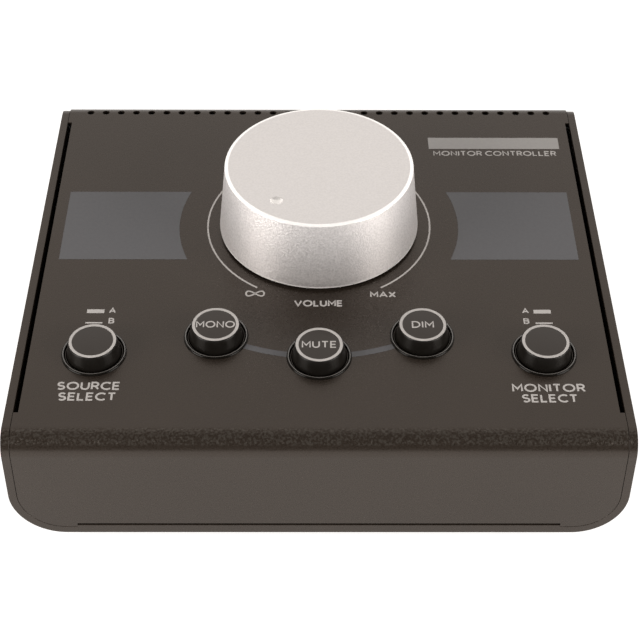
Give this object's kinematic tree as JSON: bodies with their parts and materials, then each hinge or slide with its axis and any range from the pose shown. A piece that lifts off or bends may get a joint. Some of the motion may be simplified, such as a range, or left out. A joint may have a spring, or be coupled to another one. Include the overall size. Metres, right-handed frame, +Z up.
{
  "type": "monitor controller",
  "caption": "Desktop monitor controller: a sloping sheet-metal case with one large turning volume knob, round push buttons and a row of jack sockets at the back.",
  "frame": {"origin": "middle of the footprint, on the surface that the feet stand on", "axes": "+X to the user's right along the front, +Y from the front to the sockets at the back, +Z up"},
  "size_m": [0.1906, 0.1696, 0.0787],
  "materials": {
    "powder_coat": "fine-textured powder coat",
    "satin_aluminium": "bead-blasted, clear anodised, bright chamfer",
    "cap_plastic": "glossy side, matt face with a pale printed ring",
    "black_plastic": "moulded gloss black",
    "switch_plastic": "moulded",
    "label_print": "flat grey print",
    "circuit_board": "solder mask",
    "foot_rubber": "matt",
    "ribbon_plastic": "grey ribbon cable",
    "nickel_plate": "nickel plated",
    "screw_steel": "black zinc",
    "jack_plastic": "glass-filled nylon"
  },
  "bodies": {
    "case": {"outer_wrap": "powder_coat", "top_cover": "powder_coat", "rear_panel": "powder_coat", "jack_board": "circuit_board", "ribbon_cable": "ribbon_plastic", "jack_1": "jack_plastic", "jack_nut_1": "nickel_plate", "jack_2": "jack_plastic", "jack_nut_2": "nickel_plate", "jack_3": "jack_plastic", "jack_nut_3": "nickel_plate", "jack_4": "jack_plastic", "jack_nut_4": "nickel_plate", "jack_5": "jack_plastic", "jack_nut_5": "nickel_plate", "jack_6": "jack_plastic", "jack_nut_6": "nickel_plate", "jack_7": "jack_plastic", "jack_nut_7": "nickel_plate", "jack_8": "jack_plastic", "jack_nut_8": "nickel_plate", "mini_jack": "jack_plastic", "mini_jack_nut": "nickel_plate", "foot_1": "foot_rubber", "foot_2": "foot_rubber", "foot_3": "foot_rubber", "foot_4": "foot_rubber", "case_screw_1": "screw_steel", "case_screw_2": "screw_steel", "case_screw_3": "screw_steel", "case_screw_4": "screw_steel", "label_left": "label_print", "label_right": "label_print", "main_board": "circuit_board", "pot_body": "nickel_plate", "pot_washer": "nickel_plate", "pot_nut": "nickel_plate", "source_bezel": "black_plastic", "source_switch": "switch_plastic", "mono_bezel": "black_plastic", "mono_switch": "switch_plastic", "mute_bezel": "black_plastic", "mute_switch": "switch_plastic", "dim_bezel": "black_plastic", "dim_switch": "switch_plastic", "monitor_bezel": "black_plastic", "monitor_switch": "switch_plastic"},
    "volume_knob": {"knob_shell": "satin_aluminium", "knob_hub": "black_plastic", "pot_shaft": "nickel_plate"},
    "source_button": {"source_cap": "cap_plastic", "source_stem": "black_plastic"},
    "mono_button": {"mono_cap": "cap_plastic", "mono_stem": "black_plastic"},
    "mute_button": {"mute_cap": "cap_plastic", "mute_stem": "black_plastic"},
    "dim_button": {"dim_cap": "cap_plastic", "dim_stem": "black_plastic"},
    "monitor_button": {"monitor_cap": "cap_plastic", "monitor_stem": "black_plastic"}
  },
  "joints": [
    {"name": "volume_turn", "type": "hinge", "parent": "case", "child": "volume_knob", "pos_m": [0, 0.01451, 0.05085], "axis": [0, 0.0698, -0.9976], "range_deg": [0, 288]},
    {"name": "source_press", "type": "slide", "parent": "case", "child": "source_button", "axis": [0, 0.0698, -0.9976], "range_m": [0, 0.0025], "stiffness_N_per_m": 600, "springref_m": -0.001},
    {"name": "mono_press", "type": "slide", "parent": "case", "child": "mono_button", "axis": [0, 0.0698, -0.9976], "range_m": [0, 0.0025], "stiffness_N_per_m": 600, "springref_m": -0.001},
    {"name": "mute_press", "type": "slide", "parent": "case", "child": "mute_button", "axis": [0, 0.0698, -0.9976], "range_m": [0, 0.0025], "stiffness_N_per_m": 600, "springref_m": -0.001},
    {"name": "dim_press", "type": "slide", "parent": "case", "child": "dim_button", "axis": [0, 0.0698, -0.9976], "range_m": [0, 0.0025], "stiffness_N_per_m": 600, "springref_m": -0.001},
    {"name": "monitor_press", "type": "slide", "parent": "case", "child": "monitor_button", "axis": [0, 0.0698, -0.9976], "range_m": [0, 0.0025], "stiffness_N_per_m": 600, "springref_m": -0.001}
  ]
}
